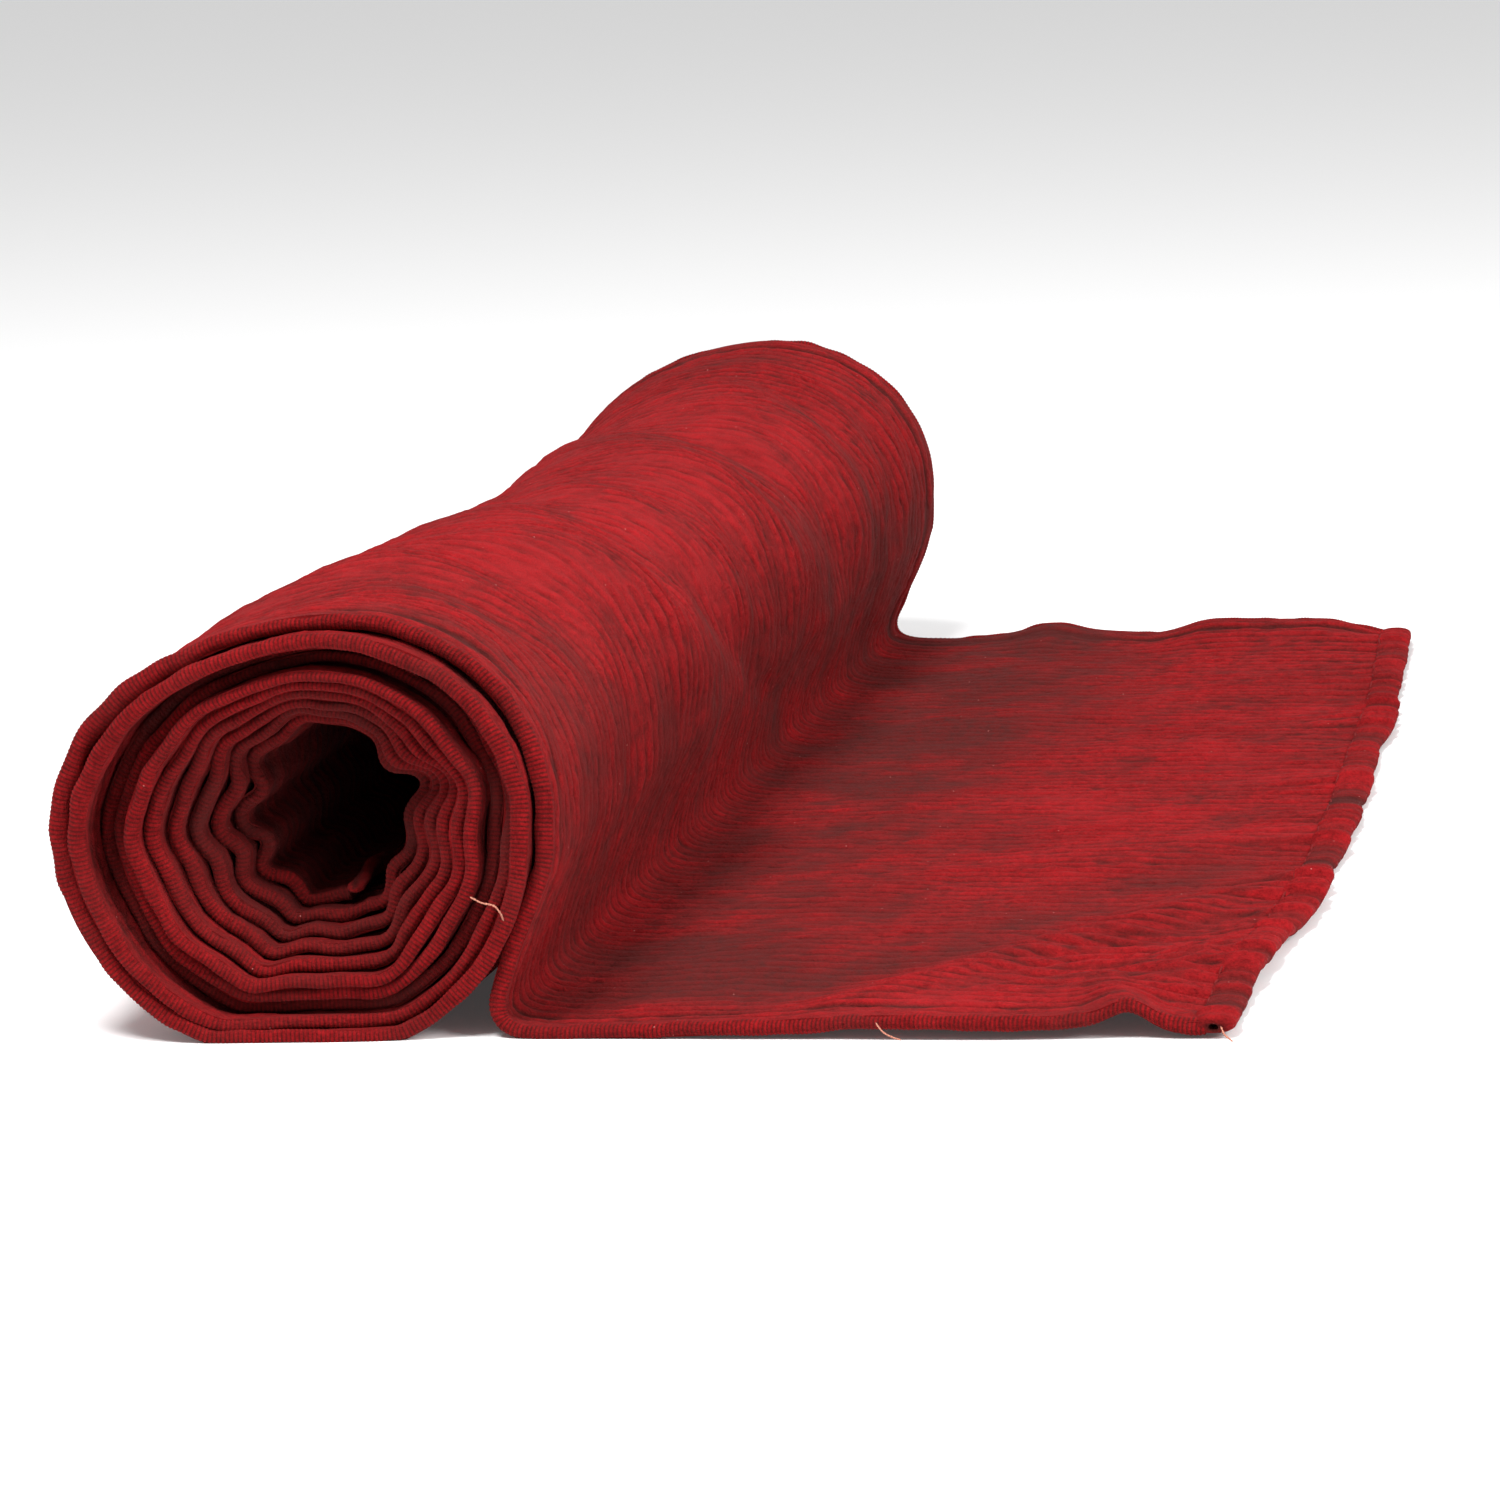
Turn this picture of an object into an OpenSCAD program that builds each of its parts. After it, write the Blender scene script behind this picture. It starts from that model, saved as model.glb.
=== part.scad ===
// Ribbed plush cloth wound up on itself, with no core, and its loose end lying flat beside the roll.
// The roll lies along Y on its flattened underside. X is the way the loose end runs, and Z is up.
// It is one length of cloth, parted here only where it has to bend or slide: nine wound turns, the
// wrap and drop that cover them, the foot, and four panels of loose end with a turned-over hem.

/* [Cloth] */
// Width of the cloth, which is the length of the roll
cloth_w = 600; // [400:10:800]
// Thickness of the cloth where it is pressed flat
cloth_t = 2.5; // [2:0.1:3.2]
// Width of the overlocked edging along both sides of the cloth
edging_w = 2.6; // [1.6:0.2:5]
// How much thinner the stitched edging is than the cloth
edging_thinning = 0.3; // [0.1:0.1:0.8]

/* [Hollow] */
// Width of the hollow down the middle, between the middles of the innermost turn
hollow_w = 38; // [30:1:56]
// Height of the same hollow
hollow_h = 48; // [36:1:64]
// Depth of the crumples in the innermost turn
crumple = 2.1; // [0:0.1:2.4]
// How far the innermost turn is pushed out into a corner on its drop side
corner_push = 4.8; // [0:0.2:5]

/* [Winding] */
// Spare room for each turn at the left side
ease_left = 2.3; // [1.7:0.05:3.5]
// Spare room for each turn at the drop side
ease_right = 1.85; // [1.7:0.05:3.5]
// Spare room for each turn over the top
ease_top = 0.47; // [0.4:0.01:2]
// Spare room for each turn at the bottom, before the floor flattens it
ease_bottom = 1.4; // [1.1:0.05:2.2]
// Gap left between turns that the floor has pressed flat
floor_gap = 0.85; // [0.5:0.05:1.2]
// Share of the side room that the pile swells into
pile_swell = 0.5; // [0:0.05:0.6]
// How far the top of each turn leans over towards the drop side
lean = 0.6; // [0:0.05:0.7]
// Gap under the last wrap where it lies loose over the top
wrap_lift = 1.2; // [0.4:0.1:4]

/* [Ends of the roll] */
// How far back the near face of each inner turn lies from the turn outside it
turn_step = 3.6; // [0:0.1:5]
// How far back the sixth turn lies from the face of the outermost one
sixth_back = 3; // [0:0.5:10]
// How far back the two slack turns under the outermost one lie
slack_back = 7; // [0:0.5:14]
// How far back the last wrap and the loose end lie from the face of the outermost turn
wrap_back = 8; // [0:0.5:14]
// Share of each setback by which the same cloth stands out at the far end
far_share = 0.5; // [0:0.1:1]

/* [Loose end] */
// Room between the side of the roll and the line where the loose end first lifts
lift_room = 15; // [13:1:40]
// Length of each of the four panels of the loose end
panel_l = 40; // [30:1:44]
// Width of the turned-over hem at the end, taken out of the last panel
hem_w = 11; // [6:0.5:20]
// Thickness of the hem, where the cloth is doubled and stitched down
hem_t = 4.4; // [3.6:0.1:6.4]
// Gap between the pieces that fold or slide on each other
split_gap = 0.3; // [0.2:0.05:0.6]

/* [Stitches and threads] */
// Length of one stitch of the hem seam
stitch_l = 4.5; // [2:0.5:6]
// Distance of the seam from the hem's inner edge
seam_inset = 1.5; // [1:0.1:2.5]
// Distance from one stitch to the next
stitch_pitch = 8; // [7:0.5:16]
// Thickness of the sewing thread
thread_d = 0.7; // [0.4:0.1:1]
// Radius of the curl that each loose thread tail lies in
tail_r = 5; // [3:0.5:9]

/* [Hidden] */
turns = 9;
start_angle = -78;
flat_bottom_turn = 0.25;
wrap_turn = 192 / 360;
drop_turn = 292 / 360;
side_turn = 282 / 360;
crumple_lobes = 9;
crumple_phase = 101;
corner_angle = 14;
corner_spread = 15;
steps_per_turn = 60;
drop_steps = 14;
foot_bend = 22;
foot_back = 2;
drop_slope = 248;
drop_reach = 0.84;
panels = 4;
inner_hem_r = 2.2;
hollow_rise = 0.9;
cloth_red = [0.68, 0.13, 0.15];
edge_red = [0.55, 0.09, 0.11];
thread_red = [0.74, 0.22, 0.22];

// The floor lies under the whole stack of pressed turns, and the hollow sits on top of them.
floor_pitch = cloth_t + floor_gap;
centre_x = 1.5;
centre_z = turns * floor_pitch + hollow_h / 2 + hollow_rise;

// Radius of the innermost turn's middle line, an oval taller than it is wide.
function hollow_r(a) =
    let (p = hollow_w / 2, q = hollow_h / 2) p * q / sqrt(pow(q * cos(a), 2) + pow(p * sin(a), 2));

// Room that one turn takes up along a radius: the sides are slack, the top and bottom are close.
function side_ease(a) = cos(a) > 0 ? ease_right : ease_left;
function pitch(a) =
    cloth_t + pow(cos(a), 2) * side_ease(a) + pow(sin(a), 2) * (sin(a) > 0 ? ease_top : ease_bottom)
    + lean * max(0, sin(a)) * cos(a);

// Thickness of the cloth along a radius, fuller at the slack sides.
function wall(a) = cloth_t + pile_swell * pow(cos(a), 2) * side_ease(a);

// Crumples of the inner turns, which die away towards the outside.
function fade(n, power) = pow(max(0, 1 - n / turns), power);
function off_corner(a) = let (d = (a - corner_angle) % 360) (d > 180 ? d - 360 : d < -180 ? d + 360 : d);
function crumples(a, n) =
    crumple * (0.65 - 0.35 * sin(a)) * cos(crumple_lobes * (a + crumple_phase)) * fade(n, 1.5)
    + corner_push * exp(-pow(off_corner(a) / corner_spread, 2)) * fade(n, 1.25);

// The last wrap lies looser than the turns under it.
function loose_lift(n) = wrap_lift * min(1, max(0, (n - turns - 0.05) / 0.35));

// Radius of the middle of the cloth after n turns, at the angle a.
function cloth_r(a, n) = hollow_r(a) + n * pitch(a) + crumples(a, n) + loose_lift(n);

// Height that a turn's underside can't sink below: the last one lies flat on the floor.
function floor_z(n) =
    let (v = turns - n)
    v <= flat_bottom_turn ? 0
    : v < 1 ? floor_pitch * (v - flat_bottom_turn) / (1 - flat_bottom_turn)
    : floor_pitch * v;

// A point on the cloth after n turns. side is -1 for its inner surface, 0 for its middle and 1 for
// its outer surface, and thin is how much thinner the piece is than the cloth.
function turn_angle(n) = start_angle - 360 * n;
function cloth_point(n, side, thin) =
    let (a = turn_angle(n), r = cloth_r(a, n) + side * (wall(a) - thin) / 2,
        low = floor_z(n) + (1 - side) * (cloth_t - thin) / 2 + thin / 2)
    [centre_x + r * cos(a), max(centre_z + r * sin(a), low)];

// Outline of the cloth from n0 to n1 turns, as seen along the roll.
function turn_outline(n0, n1, thin) =
    let (count = ceil((n1 - n0) * steps_per_turn))
    concat([for (i = [0:count]) cloth_point(n0 + (n1 - n0) * i / count, 1, thin)],
        [for (i = [count:-1:0]) cloth_point(n0 + (n1 - n0) * i / count, -1, thin)]);

// The drop leaves the roll at its widest and curves down into the foot on the floor.
drop_top = cloth_point(turns + drop_turn, 0, 0);
roll_right = centre_x + cloth_r(0, turns + side_turn) + wall(0) / 2;
foot_x = roll_right - foot_back;
foot_start = [foot_x, cloth_t / 2];
drop_c1 = drop_top + drop_reach * drop_top[1] * [cos(drop_slope), sin(drop_slope)];
drop_c2 = foot_start - [foot_bend, 0];
function bezier(t) =
    pow(1 - t, 3) * drop_top + 3 * t * pow(1 - t, 2) * drop_c1 + 3 * pow(t, 2) * (1 - t) * drop_c2
    + pow(t, 3) * foot_start;
function bezier_heading(t) =
    let (d = 3 * pow(1 - t, 2) * (drop_c1 - drop_top) + 6 * t * (1 - t) * (drop_c2 - drop_c1)
        + 3 * pow(t, 2) * (foot_start - drop_c2))
    d / norm(d);
function drop_point(t, side, thin) =
    let (h = bezier_heading(t), full = wall(0) + (cloth_t - wall(0)) * t)
    bezier(t) + side * (full - thin) / 2 * [-h[1], h[0]];
function drop_outline(thin) =
    let (n0 = turns + wrap_turn + split_gap / 360, n1 = turns + drop_turn,
        count = ceil((n1 - n0) * steps_per_turn))
    concat([for (i = [0:count - 1]) cloth_point(n0 + (n1 - n0) * i / count, 1, thin)],
        [for (i = [0:drop_steps]) drop_point(i / drop_steps, 1, thin)],
        [for (i = [drop_steps:-1:0]) drop_point(i / drop_steps, -1, thin)],
        [for (i = [count - 1:-1:0]) cloth_point(n0 + (n1 - n0) * i / count, -1, thin)]);

// Setback of each turn's near face, and where its two edges lie along the roll.
function setback(k) =
    k > turns ? wrap_back : k == turns ? 0 : k > 6 ? slack_back : sixth_back + (6 - k) * turn_step;
function near_y(k) = -cloth_w / 2 + setback(k);
function far_y(k) = cloth_w / 2 + far_share * setback(k);
outermost = turns + 1;

// Lines across the loose end where it folds.
fold_x = roll_right + lift_room;
function fold(i) = fold_x + (i - 1) * panel_l;
end_x = fold(panels + 1);

// A piece of cloth of one outline, from y0 to y1.
module along(y0, y1, outline) {
    translate([0, y1, 0])
        rotate([90, 0, 0])
            linear_extrude(y1 - y0)
                polygon(outline);
}

// Start and end of turn k, short of its neighbours by half of the split gap.
function turn_from(k) = k - 1 + split_gap / 2 / (2 * PI * cloth_r(start_angle, k - 1));
function turn_to(k) = k - split_gap / 2 / (2 * PI * cloth_r(start_angle, k));

// One wound turn of the cloth, without its edging.
module winding(k) {
    color(cloth_red)
        along(near_y(k) + edging_w, far_y(k) - edging_w, turn_outline(turn_from(k), turn_to(k), 0));
}

// The last half turn, from the floor up the left side and over to the top.
module outer_wrap() {
    color(cloth_red)
        along(near_y(outermost) + edging_w, far_y(outermost) - edging_w,
            turn_outline(turn_from(outermost), turns + wrap_turn, 0));
}

// The cloth that comes off the top, hangs down the right side and turns out onto the floor.
module drop() {
    color(cloth_red)
        along(near_y(outermost) + edging_w, far_y(outermost) - edging_w, drop_outline(0));
}

// A flat stretch of the loose end, from x0 to x1 and y0 to y1.
module flat_cloth(x0, x1, y0, y1, thin) {
    translate([x0, y0, thin / 2])
        cube([x1 - x0, y1 - y0, cloth_t - thin]);
}

// The short stretch on the floor between the drop and the first fold.
module foot() {
    color(cloth_red)
        flat_cloth(foot_x, fold(1) - split_gap / 2, near_y(outermost) + edging_w,
            far_y(outermost) - edging_w, 0);
}

// Ends of panel i. The last one stops where the hem starts.
function panel_from(i) = fold(i) + split_gap / 2;
function panel_to(i) = i < panels ? fold(i + 1) - split_gap / 2 : end_x - hem_w;

// One panel of the loose end.
module loose_end(i) {
    color(cloth_red)
        flat_cloth(panel_from(i), panel_to(i), near_y(outermost) + edging_w,
            far_y(outermost) - edging_w, 0);
}

// The end of the cloth, turned over on itself and stitched down.
module end_hem() {
    color(cloth_red)
        along(near_y(outermost), far_y(outermost), concat(
            [[end_x - hem_w, 0], [end_x - hem_t / 2, 0]],
            [for (a = [-75:15:75]) [end_x - hem_t / 2 + hem_t / 2 * cos(a), hem_t / 2 * (1 + sin(a))]],
            [[end_x - hem_t / 2, hem_t], [end_x - hem_w, hem_t]]));
}

// The seam that holds the hem: one row of stitches along its inner edge.
module end_hem_stitches() {
    seam_l = far_y(outermost) - near_y(outermost) - 2 * edging_w;
    count = floor(seam_l / stitch_pitch);
    seam_mid = (near_y(outermost) + far_y(outermost)) / 2;
    color(thread_red)
        for (i = [0:count - 1])
            translate([end_x - hem_w + seam_inset,
                    seam_mid + (i - (count - 1) / 2) * stitch_pitch - stitch_l / 2, hem_t])
                cube([thread_d, stitch_l, thread_d / 2]);
}

// The other end of the cloth, rolled over in the middle of the hollow.
module inner_end_hem() {
    tip = start_angle + 2 * asin((inner_hem_r + split_gap) / 2 / cloth_r(start_angle, 0)) + 1;
    r = cloth_r(start_angle, 0) - 0.5;
    color(cloth_red)
        translate([centre_x + r * cos(tip), far_y(1), centre_z + r * sin(tip)])
            rotate([90, 0, 0])
                cylinder(r = inner_hem_r, h = far_y(1) - near_y(1), $fn = 24);
}

// Overlock stitching that binds the near or the far edge of turns first to last.
module turn_edging(near, first, last) {
    color(edge_red)
        for (k = [first:last]) {
            y0 = near ? near_y(k) : far_y(k) - edging_w;
            along(y0, y0 + edging_w, turn_outline(turn_from(k), turn_to(k), edging_thinning));
        }
}

// The same binding around the wrap, down the drop and along the foot.
module outer_edging(near) {
    y0 = near ? near_y(outermost) : far_y(outermost) - edging_w;
    turn_edging(near, 7, turns);
    color(edge_red) {
        along(y0, y0 + edging_w,
            turn_outline(turn_from(outermost), turns + wrap_turn, edging_thinning));
        along(y0, y0 + edging_w, drop_outline(edging_thinning));
        flat_cloth(foot_x, fold(1) - split_gap / 2, y0, y0 + edging_w, edging_thinning);
    }
}

// The same binding along one panel of the loose end.
module flap_edging(near, i) {
    y0 = near ? near_y(outermost) : far_y(outermost) - edging_w;
    color(edge_red)
        flat_cloth(panel_from(i), panel_to(i), y0, y0 + edging_w, edging_thinning);
}

// A loose end of sewing thread that lies in a flat S, drawn from the origin towards +Y.
module thread_tail() {
    first_bend = 95;
    back_bend = 70;
    back_r = 0.6 * tail_r;
    color(thread_red) {
        translate([-tail_r, 0, 0])
            thread_arc(tail_r, first_bend);
        translate([-tail_r + (tail_r + back_r) * cos(first_bend), (tail_r + back_r) * sin(first_bend), 0])
            rotate([0, 0, first_bend + 180 - back_bend])
                thread_arc(back_r, back_bend);
    }
}

// One bend of a thread.
module thread_arc(r, angle) {
    rotate_extrude(angle = angle, $fn = 48)
        translate([r, 0])
            circle(d = thread_d, $fn = 16);
}

// The tail left at the near end of the hem seam, lying on the floor.
module thread_tail_corner() {
    translate([end_x - hem_t, near_y(outermost), thread_d / 2])
        rotate([0, 0, 165])
            thread_tail();
}

// A tail worked loose from the near edging of the second panel.
module thread_tail_edge() {
    translate([fold(3) - panel_l / 3, near_y(outermost), cloth_t / 2])
        rotate([0, 0, 190])
            thread_tail();
}

// A tail that clings to the near face of the outermost turn, low on the drop side.
module thread_tail_face() {
    p = cloth_point(turns - 0.15, 0, 0);
    translate([p[0], near_y(turns) - thread_d / 2, p[1]])
        rotate([90, 0, 0])
            thread_tail();
}

winding(1);  // winding_01
winding(2);  // winding_02
winding(3);  // winding_03
winding(4);  // winding_04
winding(5);  // winding_05
winding(6);  // winding_06
winding(7);  // winding_07
winding(8);  // winding_08
winding(9);  // winding_09
outer_wrap();
drop();
foot();
loose_end(1);  // loose_end_1
loose_end(2);  // loose_end_2
loose_end(3);  // loose_end_3
loose_end(4);  // loose_end_4
end_hem();
end_hem_stitches();
inner_end_hem();
turn_edging(true, 1, 3);  // near_edging_inner
turn_edging(true, 4, 6);  // near_edging_middle
outer_edging(true);  // near_edging_outer
turn_edging(false, 1, 3);  // far_edging_inner
turn_edging(false, 4, 6);  // far_edging_middle
outer_edging(false);  // far_edging_outer
flap_edging(true, 1);  // near_edging_flap_1
flap_edging(true, 2);  // near_edging_flap_2
flap_edging(true, 3);  // near_edging_flap_3
flap_edging(true, 4);  // near_edging_flap_4
flap_edging(false, 1);  // far_edging_flap_1
flap_edging(false, 2);  // far_edging_flap_2
flap_edging(false, 3);  // far_edging_flap_3
flap_edging(false, 4);  // far_edging_flap_4
thread_tail_corner();
thread_tail_edge();
thread_tail_face();
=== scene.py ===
import math

import bpy
import numpy as np
from mathutils import Matrix, Vector


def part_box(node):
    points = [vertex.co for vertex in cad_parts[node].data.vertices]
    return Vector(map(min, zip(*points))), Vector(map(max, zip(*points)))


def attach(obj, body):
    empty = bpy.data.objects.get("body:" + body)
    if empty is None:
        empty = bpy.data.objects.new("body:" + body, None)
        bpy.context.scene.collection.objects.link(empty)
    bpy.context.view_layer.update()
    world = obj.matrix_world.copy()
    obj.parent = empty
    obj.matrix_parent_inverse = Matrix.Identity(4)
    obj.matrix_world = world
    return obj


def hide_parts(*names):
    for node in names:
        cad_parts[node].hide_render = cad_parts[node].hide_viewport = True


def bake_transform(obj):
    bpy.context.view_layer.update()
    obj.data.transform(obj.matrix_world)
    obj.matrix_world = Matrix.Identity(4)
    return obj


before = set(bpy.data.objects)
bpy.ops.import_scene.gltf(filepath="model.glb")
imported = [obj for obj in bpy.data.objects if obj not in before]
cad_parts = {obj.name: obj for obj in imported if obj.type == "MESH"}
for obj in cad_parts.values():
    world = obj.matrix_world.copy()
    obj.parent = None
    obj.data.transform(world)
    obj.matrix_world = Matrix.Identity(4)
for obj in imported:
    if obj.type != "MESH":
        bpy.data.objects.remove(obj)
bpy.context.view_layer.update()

# ---------------------------------------------------------------------------------------------
# Camera, floor and light. The roll is seen from a little to the right of its near end and a
# little above it, with a long lens. The floor is pale and plain, and the light is soft.
# ---------------------------------------------------------------------------------------------

CAMERA_AT = Vector((0.403, -1.690, 0.339))
CAMERA_TURN = math.radians(11.5)
CAMERA_DOWN = math.radians(10.5)
CAMERA_ROLL = math.radians(-2.36)
SENSOR_WIDTH = 36
LENS_LENGTH = 137
FLOOR_SIZE = 12
FLOOR_GLOW = 0.04

camera = bpy.data.objects.new("camera", bpy.data.cameras.new("camera"))
bpy.context.scene.collection.objects.link(camera)
bpy.context.scene.camera = camera
camera.data.sensor_width = SENSOR_WIDTH
camera.data.lens = LENS_LENGTH
camera.data.clip_end = 20
look = Vector((-math.sin(CAMERA_TURN) * math.cos(CAMERA_DOWN),
               math.cos(CAMERA_TURN) * math.cos(CAMERA_DOWN), -math.sin(CAMERA_DOWN)))
level = look.cross(Vector((0, 0, 1))).normalized()
upright = level.cross(look)
right = level * math.cos(CAMERA_ROLL) + upright * math.sin(CAMERA_ROLL)
above = upright * math.cos(CAMERA_ROLL) - level * math.sin(CAMERA_ROLL)
facing = Matrix((right, above, -look)).transposed().to_4x4()
camera.matrix_world = Matrix.Translation(CAMERA_AT) @ facing

bpy.context.scene.view_settings.view_transform = "Standard"


def studio_floor():
    """A wide pale sheet of floor, level with the underside of the roll."""
    bpy.ops.object.select_all(action="DESELECT")
    bpy.ops.mesh.primitive_plane_add(size=FLOOR_SIZE, location=(0, 2, 0))
    floor = bpy.context.object
    floor.name = "floor"
    paint = bpy.data.materials.new("floor_white")
    paint.use_nodes = True
    surface = paint.node_tree.nodes["Principled BSDF"]
    surface.inputs["Base Color"].default_value = (0.93, 0.93, 0.93, 1)
    surface.inputs["Roughness"].default_value = 0.9
    surface.inputs["Emission Color"].default_value = (1, 1, 1, 1)
    surface.inputs["Emission Strength"].default_value = FLOOR_GLOW
    floor.data.materials.append(paint)


def soft_light(name, place, aim, side, power):
    """One large square lamp, turned towards the point that it lights."""
    lamp = bpy.data.objects.new(name, bpy.data.lights.new(name, "AREA"))
    bpy.context.scene.collection.objects.link(lamp)
    lamp.data.size = side
    lamp.data.energy = power
    lamp.location = place
    lamp.rotation_euler = (Vector(aim) - Vector(place)).to_track_quat("-Z", "Y").to_euler()


studio_floor()
soft_light("key_light", (-0.25, -1.05, 2.0), (0, 0, 0), 0.7, 56)
soft_light("side_light", (1.6, -0.7, 1.1), (0.05, -0.1, 0.03), 0.8, 28)

FRONT_WHITE = 0.26
BACK_WHITE = 0.78


def white_room():
    """Even white light from the back and from above, and less of it from the front."""
    room = bpy.data.worlds.new("room")
    bpy.context.scene.world = room
    room.use_nodes = True
    tree = room.node_tree
    direction = tree.nodes.new("ShaderNodeTexCoord")
    parts = tree.nodes.new("ShaderNodeSeparateXYZ")
    shade = tree.nodes.new("ShaderNodeMapRange")
    shade.inputs["From Min"].default_value = -0.9
    shade.inputs["From Max"].default_value = 0.3
    shade.inputs["To Min"].default_value = FRONT_WHITE
    shade.inputs["To Max"].default_value = BACK_WHITE
    tree.links.new(direction.outputs["Generated"], parts.inputs[0])
    tree.links.new(parts.outputs["Y"], shade.inputs["Value"])
    tree.links.new(shade.outputs["Result"], tree.nodes["Background"].inputs["Strength"])
    tree.nodes["Background"].inputs["Color"].default_value = (1, 1, 1, 1)


white_room()

# ---------------------------------------------------------------------------------------------
# The wound cloth. One length of ribbed plush, about 600 mm wide, is wound nine and a half times
# round on itself with no core, comes off the top, drops down the right side and runs out along
# the floor. Its own weight flattens the underside, and the innermost turns are crumpled.
# ---------------------------------------------------------------------------------------------

MM = 0.001
CLOTH_WIDTH = 600 * MM
CLOTH_THICK = 2.5 * MM
TURNS = 9
START_ANGLE = -78.0
WRAP_END = TURNS + 192 / 360
POLAR_END = TURNS + 292 / 360
CENTRE = (1.5 * MM, 55.05 * MM)
HALF_HOLLOW = (19 * MM, 24 * MM)
EASE_LEFT, EASE_RIGHT, EASE_TOP, EASE_BOTTOM = 2.3 * MM, 1.85 * MM, 0.47 * MM, 1.4 * MM
LEAN = 0.6 * MM
PILE_SWELL = 0.5
WRAP_LIFT = 1.2 * MM
FLOOR_PITCH = CLOTH_THICK + 0.85 * MM
CRUMPLE = 2.1 * MM
CORNER_PUSH = 4.8 * MM
FOOT_X = 63.9555 * MM
FOLD_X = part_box("loose_end_1")[0].x - 0.15 * MM
PANEL = 40 * MM
END_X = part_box("end_hem")[1].x
HEM_WIDTH = 11 * MM
LINE_STEP = 0.5 * MM


def waves(u, v, seed, count, u_size, v_size):
    """Smooth random relief between about -1 and 1, with features of about u_size by v_size."""
    dice = np.random.RandomState(seed)
    total = np.zeros(np.broadcast(u, v).shape)
    for _ in range(count):
        ku = dice.normal() / u_size * 2.2
        kv = dice.normal() / v_size * 2.2
        total = total + np.cos(ku * u + kv * v + dice.uniform(0, 2 * math.pi))
    return total / math.sqrt(count) * 1.1


def pile_thickness(angle):
    """The cloth is fuller at the slack sides of the roll than where it is squeezed."""
    side = np.where(np.cos(angle) > 0, EASE_RIGHT, EASE_LEFT)
    return CLOTH_THICK + PILE_SWELL * np.cos(angle) ** 2 * side


def wound_radius(angle, n):
    """Distance of the middle of the cloth from the middle of the roll, after n turns."""
    c, s = np.cos(angle), np.sin(angle)
    p, q = HALF_HOLLOW
    hollow = p * q / np.sqrt((q * c) ** 2 + (p * s) ** 2)
    pitch = (CLOTH_THICK + c ** 2 * np.where(c > 0, EASE_RIGHT, EASE_LEFT)
             + s ** 2 * np.where(s > 0, EASE_TOP, EASE_BOTTOM) + LEAN * np.maximum(0, s) * c)
    left = np.maximum(0, 1 - n / TURNS)
    crumple = CRUMPLE * (0.65 - 0.35 * s) * np.cos(9 * (angle + math.radians(101))) * left ** 1.5
    off = (np.degrees(angle) - 14 + 180) % 360 - 180
    corner = CORNER_PUSH * np.exp(-(off / 15) ** 2) * left ** 1.25
    loose = WRAP_LIFT * np.clip((n - TURNS - 0.05) / 0.35, 0, 1)
    return hollow + n * pitch + crumple + corner + loose


def pressed_floor(n):
    """Height that the middle of the cloth can't sink below after n turns."""
    v = TURNS - n
    stack = np.where(v < 1, np.clip((v - 0.25) / 0.75, 0, 1), v) * FLOOR_PITCH
    return stack + CLOTH_THICK / 2


def soft_max(a, b, round_off):
    """The larger of two heights, with the corner between them rounded off."""
    return 0.5 * (a + b + np.sqrt((a - b) ** 2 + round_off ** 2)) - 0.12 * round_off


def cloth_line():
    """The middle line of the whole cloth, from its inner end to the hem, point by point. It gives
    the distance along the cloth, x, z, the thickness there, and the turns wound so far."""
    n = np.linspace(0, POLAR_END, 9000)
    angle = np.radians(START_ANGLE - 360 * n)
    r = wound_radius(angle, n)
    x, z = CENTRE[0] + r * np.cos(angle), CENTRE[1] + r * np.sin(angle)
    low = pressed_floor(n)
    z = np.where(z < low + 6 * MM, soft_max(z, low, 1.2 * MM), z)
    thick = pile_thickness(angle)
    top = np.array([x[-1], z[-1]])
    foot = np.array([FOOT_X, CLOTH_THICK / 2])
    slope = math.radians(248)
    grip = top + 0.84 * top[1] * np.array([math.cos(slope), math.sin(slope)])
    heel = foot - np.array([22 * MM, 0])
    t = np.linspace(0, 1, 400)[1:, None]
    drop = (1 - t) ** 3 * top + 3 * t * (1 - t) ** 2 * grip
    drop = drop + 3 * t ** 2 * (1 - t) * heel + t ** 3 * foot
    flat_x = np.arange(FOOT_X + LINE_STEP, END_X - 3 * MM, LINE_STEP)
    x = np.concatenate([x, drop[:, 0], flat_x])
    z = np.concatenate([z, drop[:, 1], np.full(len(flat_x), CLOTH_THICK / 2)])
    full = thick[-1] + (CLOTH_THICK - thick[-1]) * t[:, 0]
    thick = np.concatenate([thick, full, np.full(len(flat_x), CLOTH_THICK)])
    n = np.concatenate([n, POLAR_END + 0.1 * t[:, 0], POLAR_END + 0.1 + (flat_x - FOOT_X)])
    step = np.hypot(np.diff(x), np.diff(z))
    s = np.concatenate([[0], np.cumsum(step)])
    even = np.arange(0, s[-1], LINE_STEP)
    line = [even] + [np.interp(even, s, a) for a in (x, z, thick, n)]
    return [np.concatenate([[2 * a[0] - a[1]], a, [2 * a[-1] - a[-2]]]) for a in line]


LINE_S, LINE_X, LINE_Z, LINE_THICK, LINE_TURNS = cloth_line()


def at_turn(n):
    """Distance along the cloth after n turns."""
    return float(np.interp(n, LINE_TURNS, LINE_S))


def at_x(x):
    """Distance along the cloth to the point x of the loose end."""
    return float(LINE_S[-1] - (LINE_X[-1] - x))


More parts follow.
